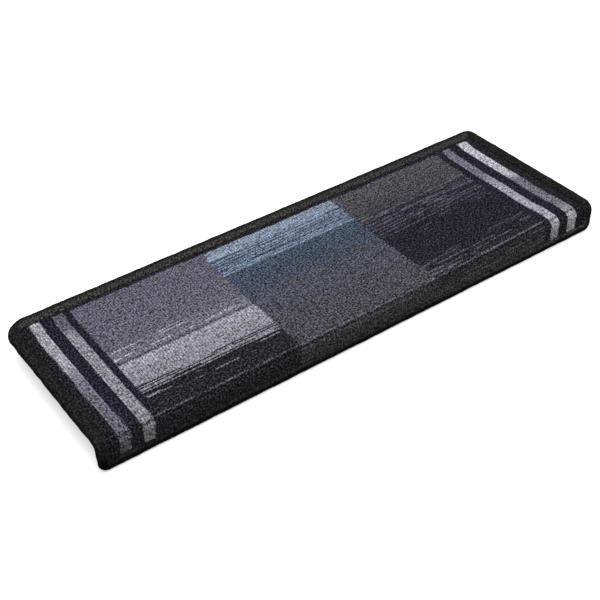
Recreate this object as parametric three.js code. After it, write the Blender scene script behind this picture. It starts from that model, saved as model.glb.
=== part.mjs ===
import * as THREE from 'three';

// Stair tread mat: one sheet of patterned pile carpet folded over the nose of a step, its edge whipped
// in yarn. Millimetres, +Z up. X runs along the step and the lip hangs down at the front, on -Y. The flat
// underside that lies on the tread is z = 0, with the origin at its middle.

// Carpet
const MAT_LENGTH = 650;
const TREAD_DEPTH = 216; // back edge to the front of the nose
const LIP_DROP = 38; // pile of the tread to the lower edge of the lip
const NOSE_RADIUS = 12; // outside of the fold
const LIP_ANGLE = 91; // degrees that the carpet is folded through
const CARPET_THICKNESS = 7;

// Corners of the cut sheet, each rounded by eye before it was whipped
const BACK_LEFT_CORNER = 28;
const BACK_RIGHT_CORNER = 10;
const LIP_LEFT_CORNER = 11;
const LIP_RIGHT_CORNER = 9.5;
const INNER_CORNER = 2; // least radius inside the whipped band

// Whipped edge
const WHIP_WIDTH = 14; // on the pile side
const WHIP_UNDER_WIDTH = 9; // on the underside
const WHIP_THICKNESS = 1.2; // of the yarn above and below the carpet
const WHIP_EDGE_THICKNESS = 2.2; // of the yarn outside the cut edge
const WHIP_CROWN = 0.5; // rise of the band over the pile
const SEAM_GAP = 0.3; // between yarn and carpet

// Printed stripes, two at each end, running from near the back edge over the nose and under the band
const BACK_MARGIN = 21.5;
const LEFT_MARGIN = 22.3;
const RIGHT_MARGIN = 27.5;
const LEFT_STRIPE_WIDTH = 13.8;
const RIGHT_STRIPE_WIDTH = 14.8;
const STRIPE_SPACING = 11.8;

// Printed panels, side by side between the stripes
const PANEL_SPACING = 7.5;
const LEFT_PANEL_WIDTH = 161.5;
const MIDDLE_PANEL_WIDTH = 178.5;
const STREAK_WIDTH = 1.6;

// Facets
const FOLD_STEPS = 8;
const CORNER_STEPS = 8;
const RIM_STEPS = 6;
const CROWN_STEPS = 3;
const LEAST_STEP = 0.25; // closest that two grid lines come

const WHIP_COLOR = '#232324';
const GROUND_COLOR = '#25242d';
const BACKING_COLOR = '#1b1b1c';

// The developed sheet: x along the step from its middle, s from the back edge over the nose to the lip
const foldAngle = THREE.MathUtils.degToRad(LIP_ANGLE);
const treadRun = TREAD_DEPTH - NOSE_RADIUS;
const noseRun = NOSE_RADIUS * foldAngle;
const lipRun = (LIP_DROP - NOSE_RADIUS * (1 - Math.cos(foldAngle))) / Math.sin(foldAngle);
const sheetDepth = treadRun + noseRun + lipRun;
const pileInset = WHIP_WIDTH + SEAM_GAP;

// Where a point of the developed sheet, some depth below the pile, lies on the folded mat.
function fold({ x, s, depth }) {
  const radius = NOSE_RADIUS - depth;
  const angle = THREE.MathUtils.clamp((s - treadRun) / NOSE_RADIUS, 0, foldAngle);
  const before = Math.min(s, treadRun);
  const after = Math.max(s - treadRun - noseRun, 0);
  return [
    x,
    treadRun / 2 - before - radius * Math.sin(angle) - after * Math.cos(angle),
    CARPET_THICKNESS - NOSE_RADIUS + radius * Math.cos(angle) - after * Math.sin(angle),
  ];
}

// Bands of colour across a panel or stripe, each from its own distance from the back edge to the next
const LEFT_PANEL_BANDS = [
  [BACK_MARGIN, '#62606e'],
  [106, '#72707e'],
  [129, '#45434e'],
  [131.5, '#9997a2'],
  [150, '#8b8a92'],
  [169, '#4a4951'],
  [189, '#28272c'],
];
const MIDDLE_PANEL_BANDS = [
  [BACK_MARGIN, '#7d889b'],
  [42, '#636e83'],
  [71, '#475264'],
  [110, '#4b4e5b'],
  [130, '#4e4d56'],
  [214, '#403f44'],
];
const RIGHT_PANEL_BANDS = [
  [BACK_MARGIN, '#4c4b52'],
  [85, '#3a3941'],
  [110, '#313038'],
  [133, '#28272f'],
  [186, '#34333b'],
];
const OUTER_LEFT_STRIPE_BANDS = [[BACK_MARGIN, '#9a99a1'], [107, '#676572']];
const INNER_LEFT_STRIPE_BANDS = [[BACK_MARGIN, '#64626f'], [55, '#88878f']];
const INNER_RIGHT_STRIPE_BANDS = [[BACK_MARGIN, '#6e6c77'], [97, '#9d9ca4']];
const OUTER_RIGHT_STRIPE_BANDS = [[BACK_MARGIN, '#b6b4be'], [119, '#73717a'], [201, '#a3a1a9']];

// Thin streaks along X, at even steps from one distance from the back edge to another
const LEFT_PANEL_STREAKS = { from: 110, to: 121, count: 2, color: '#9997a2' };
const LEFT_PANEL_DARK_STREAKS = { from: 172, to: 186, count: 3, color: '#201f26' };
const LEFT_PANEL_NOSE_STREAK = { from: 212.5, to: 212.5, count: 1, color: '#77757f' };
const MIDDLE_PANEL_STREAKS = { from: 45, to: 67, count: 4, color: '#9aa7bd' };
const RIGHT_PANEL_STREAKS = { from: 90, to: 126, count: 4, color: '#55535c' };

function bandFields(left, right, bands) {
  return bands.map(([back, color], i) => ({
    left,
    right,
    back,
    front: i + 1 < bands.length ? bands[i + 1][0] : sheetDepth,
    color: new THREE.Color(color),
  }));
}

function streakFields(left, right, { from, to, count, color }) {
  return Array.from({ length: count }, (_, i) => {
    const back = from + ((to - from) * i) / Math.max(count - 1, 1);
    return { left, right, back, front: back + STREAK_WIDTH, color: new THREE.Color(color) };
  });
}

// Fields of the print, the later ones over the earlier ones.
function printFields() {
  const outerLeft = LEFT_MARGIN - MAT_LENGTH / 2;
  const innerLeft = outerLeft + LEFT_STRIPE_WIDTH + STRIPE_SPACING;
  const leftPanel = innerLeft + LEFT_STRIPE_WIDTH + PANEL_SPACING;
  const middlePanel = leftPanel + LEFT_PANEL_WIDTH;
  const rightPanel = middlePanel + MIDDLE_PANEL_WIDTH;
  const outerRight = MAT_LENGTH / 2 - RIGHT_MARGIN - RIGHT_STRIPE_WIDTH;
  const innerRight = outerRight - STRIPE_SPACING - RIGHT_STRIPE_WIDTH;
  const rightPanelEnd = innerRight - PANEL_SPACING;
  return [
    ...bandFields(outerLeft, outerLeft + LEFT_STRIPE_WIDTH, OUTER_LEFT_STRIPE_BANDS),
    ...bandFields(innerLeft, innerLeft + LEFT_STRIPE_WIDTH, INNER_LEFT_STRIPE_BANDS),
    ...bandFields(innerRight, innerRight + RIGHT_STRIPE_WIDTH, INNER_RIGHT_STRIPE_BANDS),
    ...bandFields(outerRight, outerRight + RIGHT_STRIPE_WIDTH, OUTER_RIGHT_STRIPE_BANDS),
    ...bandFields(leftPanel, middlePanel, LEFT_PANEL_BANDS),
    ...streakFields(leftPanel, middlePanel, LEFT_PANEL_STREAKS),
    ...streakFields(leftPanel, middlePanel, LEFT_PANEL_DARK_STREAKS),
    ...streakFields(leftPanel, middlePanel, LEFT_PANEL_NOSE_STREAK),
    ...bandFields(middlePanel, rightPanel, MIDDLE_PANEL_BANDS),
    ...streakFields(middlePanel, rightPanel, MIDDLE_PANEL_STREAKS),
    ...bandFields(rightPanel, rightPanelEnd, RIGHT_PANEL_BANDS),
    ...streakFields(rightPanel, rightPanelEnd, RIGHT_PANEL_STREAKS),
  ];
}

// Sorted values strictly between two limits, none nearer than LEAST_STEP to a limit or to the last one kept.
function gridLines(values, low, high) {
  const kept = [];
  for (const value of [...values].sort((a, b) => a - b)) {
    const last = kept.length ? kept[kept.length - 1] : low;
    if (value - last > LEAST_STEP && high - value > LEAST_STEP) kept.push(value);
  }
  return kept;
}

// How far along the edge a corner reaches, at any inset up to the pile's.
const cornerReach = (corner) => Math.max(corner, pileInset + INNER_CORNER);

// A station is a place on the sheet's edge that gives its point at any inset from the edge.
function cornerStation(hand, onLip, corner, turn) {
  return (inset) => {
    const radius = Math.max(corner - inset, INNER_CORNER);
    const fromEdge = inset + radius * (1 - Math.cos(turn));
    return {
      x: hand * (MAT_LENGTH / 2 - inset - radius * (1 - Math.sin(turn))),
      s: onLip ? sheetDepth - fromEdge : fromEdge,
    };
  };
}

// Distances from the edge at which a corner's facets meet the pile.
function cornerLevels(corner) {
  const radius = cornerReach(corner) - pileInset;
  const turns = Array.from({ length: CORNER_STEPS + 1 }, (_, i) => ((Math.PI / 2) * i) / CORNER_STEPS);
  return turns.map((turn) => pileInset + radius * (1 - Math.cos(turn)));
}

// Levels of s at which both sides have a station: those asked for, the fold's and the corners'.
function sideLevels(levels) {
  const fold = Array.from({ length: FOLD_STEPS + 1 }, (_, i) => treadRun + (noseRun * i) / FOLD_STEPS);
  const back = [BACK_LEFT_CORNER, BACK_RIGHT_CORNER].flatMap(cornerLevels);
  const lip = [LIP_LEFT_CORNER, LIP_RIGHT_CORNER].flatMap(cornerLevels).map((level) => sheetDepth - level);
  const low = pileInset;
  const high = sheetDepth - pileInset;
  return [low, ...gridLines([...levels, ...fold, ...back, ...lip], low, high), high];
}

// Stations of one side, from the back edge to the lip's edge. The hand is 1 on the right and -1 on the left.
function sideStations(hand, backCorner, lipCorner, levels) {
  return levels.map((level) => {
    const onLip = level > sheetDepth / 2;
    const corner = onLip ? lipCorner : backCorner;
    const fromEdge = onLip ? sheetDepth - level : level;
    const radius = cornerReach(corner) - pileInset;
    if (fromEdge > pileInset + radius) return (inset) => ({ x: hand * (MAT_LENGTH / 2 - inset), s: level });
    return cornerStation(hand, onLip, corner, Math.acos(1 - (fromEdge - pileInset) / radius));
  });
}

const leftStations = (levels) => sideStations(-1, BACK_LEFT_CORNER, LIP_LEFT_CORNER, levels);
const rightStations = (levels) => sideStations(1, BACK_RIGHT_CORNER, LIP_RIGHT_CORNER, levels);

// Columns that meet the straight part of an edge between two corners.
function columnsBetween(columns, leftCorner, rightCorner) {
  const low = cornerReach(leftCorner) - MAT_LENGTH / 2;
  const high = MAT_LENGTH / 2 - cornerReach(rightCorner);
  return gridLines(columns, low, high);
}

const backColumns = (columns) => columnsBetween(columns, BACK_LEFT_CORNER, BACK_RIGHT_CORNER);
const lipColumns = (columns) => columnsBetween(columns, LIP_LEFT_CORNER, LIP_RIGHT_CORNER);

// Stations all round the sheet: along the back, down the right side, back along the lip and up the left side.
function edgeLoop(levels, columns) {
  const back = backColumns(columns).map((x) => (inset) => ({ x, s: inset }));
  const lip = lipColumns(columns).map((x) => (inset) => ({ x, s: sheetDepth - inset }));
  return [...back, ...rightStations(levels), ...lip.reverse(), ...leftStations(levels).reverse()];
}

// Rows of points across the sheet at one inset. The end rows have every column, the others the inner ones.
function rowsAcross(levels, inset, columns, innerColumns) {
  const left = leftStations(levels);
  const right = rightStations(levels);
  return levels.map((_, i) => {
    const from = left[i](inset);
    const to = right[i](inset);
    let between = gridLines(innerColumns, from.x, to.x);
    if (i === 0) between = backColumns(columns);
    if (i === levels.length - 1) between = lipColumns(columns);
    const slope = (to.s - from.s) / (to.x - from.x);
    return [from, ...between.map((x) => ({ x, s: from.s + slope * (x - from.x) })), to];
  });
}

// Triangles gathered from points of the developed sheet, each with the print's colour at its middle.
class Surface {
  constructor(colorAt = () => new THREE.Color(1, 1, 1)) {
    this.colorAt = colorAt;
    this.positions = [];
    this.colors = [];
  }

  triangle(...corners) {
    const middle = (key) => corners.reduce((sum, corner) => sum + corner[key], 0) / corners.length;
    const color = this.colorAt(middle('x'), middle('s'), middle('depth'));
    for (const corner of corners) {
      this.positions.push(...fold(corner));
      this.colors.push(color.r, color.g, color.b);
    }
  }

  // A flat face of the sheet, zipped up between neighbouring rows.
  face(rows, depth, facesUp) {
    for (let k = 0; k + 1 < rows.length; k += 1) {
      const a = rows[k].map((point) => ({ ...point, depth }));
      const b = rows[k + 1].map((point) => ({ ...point, depth }));
      let i = 0;
      let j = 0;
      while (i < a.length - 1 || j < b.length - 1) {
        const onA = j === b.length - 1 || (i < a.length - 1 && a[i + 1].x <= b[j + 1].x);
        const corners = onA ? [a[i], b[j], a[i + 1]] : [a[i], b[j], b[j + 1]];
        this.triangle(...(facesUp ? corners : corners.reverse()));
        if (onA) i += 1;
        else j += 1;
      }
    }
  }

  // The wall between neighbouring points of a profile, each an inset and a depth, all round the edge.
  wall(loop, profile) {
    for (let k = 0; k + 1 < profile.length; k += 1) {
      loop.forEach((station, i) => {
        const next = loop[(i + 1) % loop.length];
        const at = (place, [inset, depth]) => ({ ...place(inset), depth });
        const [a, b] = [at(station, profile[k]), at(next, profile[k])];
        const [c, d] = [at(next, profile[k + 1]), at(station, profile[k + 1])];
        this.triangle(a, b, c);
        this.triangle(a, c, d);
      });
    }
  }

  mesh(name, material) {
    const geometry = new THREE.BufferGeometry();
    geometry.setAttribute('position', new THREE.Float32BufferAttribute(this.positions, 3));
    geometry.setAttribute('color', new THREE.Float32BufferAttribute(this.colors, 3));
    geometry.computeVertexNormals();
    const mesh = new THREE.Mesh(geometry, material);
    mesh.name = name;
    return mesh;
  }
}

// The carpet: pile face, a rebate all round that the yarn lies in, and the underside.
function carpetMat() {
  const fields = printFields();
  const ground = new THREE.Color(GROUND_COLOR);
  const backing = new THREE.Color(BACKING_COLOR);
  const surface = new Surface((x, s, depth) => {
    if (depth > 0) return backing;
    const inField = (field) => x > field.left && x < field.right && s > field.back && s < field.front;
    return fields.filter(inField).at(-1)?.color ?? ground;
  });
  const columns = fields.flatMap((field) => [field.left, field.right]);
  const levels = sideLevels(fields.flatMap((field) => [field.back, field.front]));
  const underInset = WHIP_UNDER_WIDTH + SEAM_GAP;
  const edgeInset = WHIP_EDGE_THICKNESS + SEAM_GAP;
  const rebate = WHIP_THICKNESS + SEAM_GAP;
  surface.face(rowsAcross(levels, pileInset, columns, columns), 0, true);
  surface.wall(edgeLoop(levels, columns), [
    [pileInset, 0],
    [pileInset, rebate],
    [edgeInset, rebate],
    [edgeInset, CARPET_THICKNESS - rebate],
    [underInset, CARPET_THICKNESS - rebate],
    [underInset, CARPET_THICKNESS],
  ]);
  surface.face(rowsAcross(levels, underInset, columns, []), CARPET_THICKNESS, false);
  return surface.mesh(
    'carpet_mat',
    new THREE.MeshStandardMaterial({ color: '#ffffff', vertexColors: true, roughness: 0.95, metalness: 0 }),
  );
}

// Section of the whipping: a low crown over the pile, a half-round rim, a flat foot, and the channel that
// holds the carpet.
function whippingProfile() {
  const rim = CARPET_THICKNESS / 2;
  const crown = Array.from({ length: CROWN_STEPS }, (_, i) => {
    const along = i / CROWN_STEPS;
    return [WHIP_WIDTH + (rim - WHIP_WIDTH) * along, -WHIP_CROWN * Math.sin(Math.PI * along)];
  });
  const edge = Array.from({ length: RIM_STEPS + 1 }, (_, i) => {
    const angle = (Math.PI * i) / RIM_STEPS;
    return [rim * (1 - Math.sin(angle)), rim * (1 - Math.cos(angle))];
  });
  return [
    ...crown,
    ...edge,
    [WHIP_UNDER_WIDTH, CARPET_THICKNESS],
    [WHIP_UNDER_WIDTH, CARPET_THICKNESS - WHIP_THICKNESS],
    [WHIP_EDGE_THICKNESS, CARPET_THICKNESS - WHIP_THICKNESS],
    [WHIP_EDGE_THICKNESS, WHIP_THICKNESS],
    [WHIP_WIDTH, WHIP_THICKNESS],
    crown[0],
  ];
}

function edgeWhipping() {
  const surface = new Surface();
  surface.wall(edgeLoop(sideLevels([]), []), whippingProfile());
  return surface.mesh(
    'edge_whipping',
    new THREE.MeshStandardMaterial({ color: WHIP_COLOR, roughness: 0.8, metalness: 0 }),
  );
}

const mat = new THREE.Group();
mat.add(carpetMat(), edgeWhipping());

export default mat;
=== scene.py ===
import math

import bpy
import numpy as np
from mathutils import Matrix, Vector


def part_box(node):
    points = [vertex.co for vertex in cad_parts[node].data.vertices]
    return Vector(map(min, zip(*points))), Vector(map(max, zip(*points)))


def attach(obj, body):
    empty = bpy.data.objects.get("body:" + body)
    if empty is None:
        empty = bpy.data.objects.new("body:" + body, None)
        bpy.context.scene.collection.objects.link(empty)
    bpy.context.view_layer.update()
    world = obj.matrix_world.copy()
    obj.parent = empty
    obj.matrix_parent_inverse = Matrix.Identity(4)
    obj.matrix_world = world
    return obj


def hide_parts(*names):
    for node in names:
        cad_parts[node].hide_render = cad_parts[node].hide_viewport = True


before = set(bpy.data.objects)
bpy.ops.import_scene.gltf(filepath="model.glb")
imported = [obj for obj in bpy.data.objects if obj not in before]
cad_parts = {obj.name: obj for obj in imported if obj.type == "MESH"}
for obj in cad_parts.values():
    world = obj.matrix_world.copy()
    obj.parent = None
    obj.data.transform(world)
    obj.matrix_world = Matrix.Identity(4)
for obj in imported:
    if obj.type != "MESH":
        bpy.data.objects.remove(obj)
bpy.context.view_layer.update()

MM = 0.001

# The folded sheet, in metres. What the frame doesn't say is repeated from the part's source.
NOSE_RADIUS = 12 * MM  # outside of the fold
LIP_ANGLE = math.radians(91)
THICKNESS = 7 * MM
BACK_LEFT_CORNER = 28 * MM
BACK_RIGHT_CORNER = 10 * MM
LIP_LEFT_CORNER = 11 * MM
LIP_RIGHT_CORNER = 9.5 * MM
INNER_CORNER = 2 * MM  # least radius inside the whipped band

carpet_low, carpet_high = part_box("carpet_mat")
band_low, band_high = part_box("edge_whipping")
LENGTH = band_high[0] - band_low[0]
PILE_TOP = carpet_high[2]
BACK_EDGE = band_high[1]
TREAD_RUN = BACK_EDGE - carpet_low[1] - NOSE_RADIUS
NOSE_RUN = NOSE_RADIUS * LIP_ANGLE
LIP_DROP = PILE_TOP - band_low[2]
LIP_RUN = (LIP_DROP - NOSE_RADIUS * (1 - math.cos(LIP_ANGLE))) / math.sin(LIP_ANGLE)
SHEET_DEPTH = TREAD_RUN + NOSE_RUN + LIP_RUN

# Whipped band, narrower on the lip than at the back
BACK_BAND = 17 * MM
RIGHT_BAND = 15 * MM
LIP_BAND = 12 * MM
LEFT_BAND = 12.5 * MM
USUAL_CROWN = 10 * MM  # about how wide the crown is, for the direction of its relief
UNDER_BAND = 9 * MM
BAND_CROWN = 0.7 * MM
BAND_WALL = 1.2 * MM
RIM_WALL = 2.2 * MM
SEAM_GAP = 0.3 * MM  # between yarn and carpet
TUCK = 0.8 * MM  # how deep the band's inner edge lies in the pile
TUCK_START = 0.86  # share of the band's width at which it dips to that depth
CROWN_END = 0.94  # and at which the crown comes down
CROWN_POWER = 0.8  # below 1, the crown is fuller than a plain arch
CROWN_STEPS = 9
RIM_STEPS = 7
OUTER_WAVE = 0.22 * MM  # how far the outer edge wanders
OUTER_WAVES = (17, 31, 53, 90)  # in one trip round the edge
INNER_WAVE = 0.3 * MM
INNER_WAVES = (23, 41, 67, 112)
UNDER_RELIEF = (0.6, 0.3)  # share of the yarn's relief half way in on the underside and at its end

# Turns of yarn round the band
YARN_COLOR = "#222221"
YARN_PITCH = 2.2 * MM
YARN_STEPS = 5  # of the mesh for each turn
YARN_RELIEF = 0.5 * MM
YARN_POWER = 0.8  # below 1, turns are fuller than a plain wave
YARN_LEVEL = 0.6  # share of the relief that lies below the band's section
YARN_LEAN = 0.3  # how far a turn leans along the edge for each millimetre across the band
TURN_VARIETY = 0.12 * MM
STRIPS = 6  # lengths that the band's UV map is cut into
WHIPPING_SEED = 31

# Painted light and shade on the yarn, as how light it is at distances in millimetres from the outer edge:
# painted shade at the rim, painted light on the back band and on the lip above its rim
SIDE_PAINTED_SHADE = [(0, 0.3), (3.2, 0.9)]
BACK_PAINTED_LIGHT = [(3.2, 0.3), (6, 0.9), (11, 2.4), (15, 2.4), (18, 1.3)]
LIP_PAINTED_LIGHT = [(6.8, 0.03), (9.4, 1.3), (11, 1.5)]
LIP_PAINTED_LIGHT_ALONG = [(0, 0.7), (0.5, 1.1), (1, 2.0)]  # and by the share of the length from the left end, painted lighter towards the right
MITRE_BLUR = 4 * MM  # half the width over which the back's painted light gives way to the sides'
BACK_PAST = 2 * MM  # how far the back's painted light reaches past the band

# Looped pile, in rows that run from the back edge over the nose
ROW_PITCH = 3.1 * MM
LOOP_LENGTH = 2.3 * MM
LOOP_HEIGHT = 1.1 * MM
ROW_HEIGHT = 0.45  # between two tops of a row, as a share of a loop's height
FURROW_HEIGHT = 0.08  # between two rows
PILE_HEIGHT = 0.85  # in the plane of the pile
HEIGHT_VARIETY = 0.22
PLACE_VARIETY = 0.17  # how far points stray, as a share of a row or a loop
PILE_WAVE = 0.25 * MM
PILE_WAVE_X = 0.12  # metres along x, about
PILE_WAVE_S = 0.09
WAVE_LENGTHS = (0.5, 1.8)  # shortest and longest, as a share of those
WAVE_SEEDS = (21, 22)
LOOP_SEED = 11
PILE_START = 0.3 * MM  # from where, under the band's inner edge, the pile rises
PILE_RISE = 1.6 * MM  # and over which distance
SQUEEZED = 1.7 * MM  # how far the pile lies down under the band
HIDDEN_STEP = 3.2 * MM  # grid under the band
FINE_UNDER = 2.5 * MM  # how far the fine grid reaches under the band
CUT_EDGE = RIM_WALL + SEAM_GAP  # from the band's outside to the carpet's cut edge
SQUARE_PART = 0.5  # share of each corner in which the grid stays square
TINY = 1e-9  # stands in for nothing in a division
UNDER_EVERY = 4  # lines of the grid that the underside keeps, one in so many

SHEET_SCALE = 0.65  # metres of sheet across the width of its UV map
UNDER_SHIFT = 0.45  # where the underside starts on that map
WALL_SHIFT = 0.88
WALL_SPACING = 0.03


def fold(x, s, depth):
    """Places on the folded mat, from x on the sheet, the distance s from its back edge and a depth
    below the pile."""
    radius = NOSE_RADIUS - depth
    angle = np.clip((s - TREAD_RUN) / NOSE_RADIUS, 0, LIP_ANGLE)
    before = np.minimum(s, TREAD_RUN)
    after = np.maximum(s - TREAD_RUN - NOSE_RUN, 0)
    y = BACK_EDGE - before - radius * np.sin(angle) - after * np.cos(angle)
    z = PILE_TOP - NOSE_RADIUS + radius * np.cos(angle) - after * np.sin(angle)
    return np.stack([x, y, z], axis=-1)


def smooth(value):
    value = np.clip(value, 0, 1)
    return value * value * (3 - 2 * value)


def wander(places, wavelength, seed, waves=7):
    """A slow random wave along a line, mostly from -1 to 1."""
    draw = np.random.RandomState(seed)
    total = np.zeros_like(places)
    for _ in range(waves):
        length = wavelength * draw.uniform(*WAVE_LENGTHS)
        total += np.sin(2 * math.pi * (places / length + draw.uniform()))
    return total / math.sqrt(waves)


def new_piece(name, points, faces, uvs, materials, face_materials=None, attributes=()):
    """A mesh object from numpy arrays: points, triangles or quads, a UV for each corner of a face, and
    named values for each point."""
    mesh = bpy.data.meshes.new(name)
    mesh.from_pydata(points.tolist(), [], faces.tolist())
    for material in materials:
        mesh.materials.append(material)
    if face_materials is not None:
        mesh.polygons.foreach_set("material_index", face_materials)
    mesh.polygons.foreach_set("use_smooth", np.ones(len(faces), dtype=bool))
    layer = mesh.uv_layers.new(name="OFBake")
    layer.data.foreach_set("uv", uvs.astype(np.float32).ravel())
    for key, values in attributes:
        attribute = mesh.attributes.new(key, "FLOAT", "POINT")
        attribute.data.foreach_set("value", values.astype(np.float32).ravel())
    mesh.update()
    piece = bpy.data.objects.new(name, mesh)
    bpy.context.scene.collection.objects.link(piece)
    return piece


def linear(color):
    """Scene-linear RGBA of a colour written as #rrggbb."""
    values = [int(color[i:i + 2], 16) / 255 for i in (1, 3, 5)]
    return [v / 12.92 if v <= 0.04045 else ((v + 0.055) / 1.055) ** 2.4 for v in values] + [1]


class Shader:
    """One material's node tree, with a short call for each kind of node."""

    def __init__(self, name, roughness, specular):
        self.material = bpy.data.materials.new(name)
        self.material.use_nodes = True
        self.tree = self.material.node_tree
        self.tree.nodes.clear()
        self.surface = self.tree.nodes.new("ShaderNodeBsdfPrincipled")
        self.surface.inputs["Roughness"].default_value = roughness
        self.surface.inputs["Specular IOR Level"].default_value = specular
        output = self.tree.nodes.new("ShaderNodeOutputMaterial")
        self.tree.links.new(self.surface.outputs[0], output.inputs[0])

    def node(self, kind, **settings):
        node = self.tree.nodes.new("ShaderNode" + kind)
        for key, value in settings.items():
            setattr(node, key, value)
        return node

    def plug(self, socket, value):
        if isinstance(value, bpy.types.NodeSocket):
            self.tree.links.new(value, socket)
        else:
            socket.default_value = value

    def math(self, operation, *values):
        node = self.node("Math", operation=operation)
        for socket, value in zip(node.inputs, values):
            self.plug(socket, value)
        return node.outputs[0]

    def vector(self, x, y=0.0, z=0.0):
        node = self.node("CombineXYZ")
        for socket, value in zip(node.inputs, (x, y, z)):
            self.plug(socket, value)
        return node.outputs[0]

    def scaled(self, a, b, size_a, size_b):
        """A place that moves by one for each size_a of a and each size_b of b."""
        return self.vector(self.math("DIVIDE", a, size_a), self.math("DIVIDE", b, size_b))

    def attribute(self, name):
        return self.node("Attribute", attribute_name=name).outputs["Fac"]

    def noise(self, vector, detail=2.0, roughness=0.5):
        """Smooth noise from 0 to 1, with features one unit apart."""
        node = self.node("TexNoise")
        self.plug(node.inputs["Vector"], vector)
        node.inputs["Scale"].default_value = 1
        node.inputs["Detail"].default_value = detail
        node.inputs["Roughness"].default_value = roughness
        return node.outputs[0]

    def draw(self, vector):
        """A random number from 0 to 1 for each place."""
        node = self.node("TexWhiteNoise")
        self.plug(node.inputs["Vector"], vector)
        return node.outputs["Value"]

    def spread(self, value, low, high, to_low=0.0, to_high=1.0, kind="SMOOTHSTEP"):
        """Takes low to to_low and high to to_high, and stays level outside them."""
        node = self.node("MapRange", interpolation_type=kind)
        for socket, part in zip(node.inputs, (value, low, high, to_low, to_high)):
            self.plug(socket, part)
        return node.outputs[0]

    def steps(self, value, stops):
        """Passes smoothly through stops of (value, result)."""
        total = stops[0][1]
        for (low, before), (high, after) in zip(stops, stops[1:]):
            total = self.math("ADD", total, self.spread(value, low, high, 0, after - before))
        return total

    def ramp(self, value, stops):
        """A colour ramp with stops of (place from 0 to 1, RGBA)."""
        node = self.node("ValToRGB")
        self.plug(node.inputs[0], value)
        elements = node.color_ramp.elements
        elements.remove(elements[0])
        for i, (place, color) in enumerate(stops):
            element = elements[0] if i == 0 else elements.new(place)
            element.position = place
            element.color = color
        return node.outputs[0]

    def mix(self, factor, a, b):
        node = self.node("Mix", data_type="RGBA")
        self.plug(node.inputs[0], factor)
        self.plug(node.inputs[6], a)
        self.plug(node.inputs[7], b)
        return node.outputs[2]

    def scale_color(self, color, factor):
        node = self.node("VectorMath", operation="SCALE")
        self.plug(node.inputs[0], color if isinstance(color, bpy.types.NodeSocket) else color[:3])
        self.plug(node.inputs["Scale"], factor)
        return node.outputs[0]

    def add_light(self, color, amount):
        """The colour with slightly blue light added, and kept above nothing."""
        blue = self.math("MULTIPLY", amount, BLUE_OF_FLECKS)
        node = self.node("VectorMath", operation="ADD")
        self.plug(node.inputs[0], color)
        self.plug(node.inputs[1], self.vector(amount, amount, blue))
        least = self.node("VectorMath", operation="MAXIMUM")
        self.plug(least.inputs[0], node.outputs[0])
        least.inputs[1].default_value = [LEAST_LIGHT] * 3
        return least.outputs[0]

    def bump(self, height, distance, strength):
        node = self.node("Bump")
        self.plug(node.inputs["Height"], height)
        node.inputs["Distance"].default_value = distance
        node.inputs["Strength"].default_value = strength
        self.tree.links.new(node.outputs[0], self.surface.inputs["Normal"])

    def sheet_places(self):
        """x from the left end and s from the back edge, both in millimetres, from the piece's UV map."""
        uv = self.node("UVMap", uv_map="OFBake")
        parts = self.node("SeparateXYZ")
        self.tree.links.new(uv.outputs[0], parts.inputs[0])
        return [self.math("MULTIPLY", part, SHEET_SCALE / MM) for part in parts.outputs[:2]]


# The print. Places are in millimetres: x from the left end, s from the back edge. Each field has its left
# and right sides and where it starts.
FIELDS = {
    "outer_left": (23.2, 34.9, 18.6),
    "inner_left": (48.5, 61.1, 20.0),
    "left_panel": (69.4, 231.0, 22.0),
    "middle_panel": (231.0, 409.5, 23.0),
    "right_panel": (409.5, 572.2, 23.0),
    "inner_right": (581.6, 594.0, 22.6),
    "outer_right": (608.1, 622.0, 20.4),
}
GROUND_AT_LEFT = "#131215"
GROUND_AT_RIGHT = "#1b1a1e"
GROUND_BY_STRIPES = "#191726"

# Colours of each field along s
PRINT = {
    "outer_left": [
        (22, "#9c9ba3"),
        (103, "#9e9da5"),
        (111, "#888591"),
        (135, "#6d6b77"),
        (212, "#62606b"),
        (222, "#5a5863"),
    ],
    "inner_left": [(22, "#5b5965"), (47, "#626069"), (60, "#87868e"), (205, "#87868e"), (222, "#7a7981")],
    "inner_right": [(22, "#6f6d79"), (96, "#706e7a"), (112, "#97969f"), (212, "#a1a0a9"), (225, "#939199")],
    "outer_right": [
        (22, "#bab8c3"),
        (112, "#b2b0ba"),
        (124, "#6d6b75"),
        (194, "#706e77"),
        (208, "#a3a1a9"),
    ],
    "left_panel": [
        (22, "#5e5c69"),
        (103, "#62606d"),
        (110, "#696773"),
        (126, "#72707d"),
        (127.6, "#595763"),
        (130.4, "#565460"),
        (131.4, "#9896a0"),
        (144, "#918f98"),
        (152, "#87858d"),
        (168, "#86848e"),
        (184, "#7c7a84"),
        (193, "#66646e"),
        (198, "#1c1b21"),
        (206, "#1a191e"),
        (222, "#222126"),
    ],
    "middle_panel": [
        (22, "#878f9b"),
        (27, "#818c9d"),
        (38, "#8794a7"),
        (44, "#7f8b9e"),
        (53, "#7c889b"),
        (56, "#6e7b8f"),
        (66, "#6e7b8f"),
        (69, "#808c9f"),
        (71, "#808c9f"),
        (72.4, "#434f60"),
        (104, "#434a5a"),
        (128, "#4b4c56"),
        (142, "#4f4f59"),
        (168, "#4b4a52"),
        (205, "#4a4951"),
        (222, "#3d3c42"),
    ],
    "right_panel": [
        (22, "#525156"),
        (50, "#4b4a50"),
        (68, "#454449"),
        (88, "#272530"),
        (134, "#1c1b26"),
        (200, "#1e1d27"),
        (210, "#2c2b33"),
        (214, "#27262b"),
        (220, "#2d2c31"),
        (226, "#3d3c42"),
    ],
}

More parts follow.
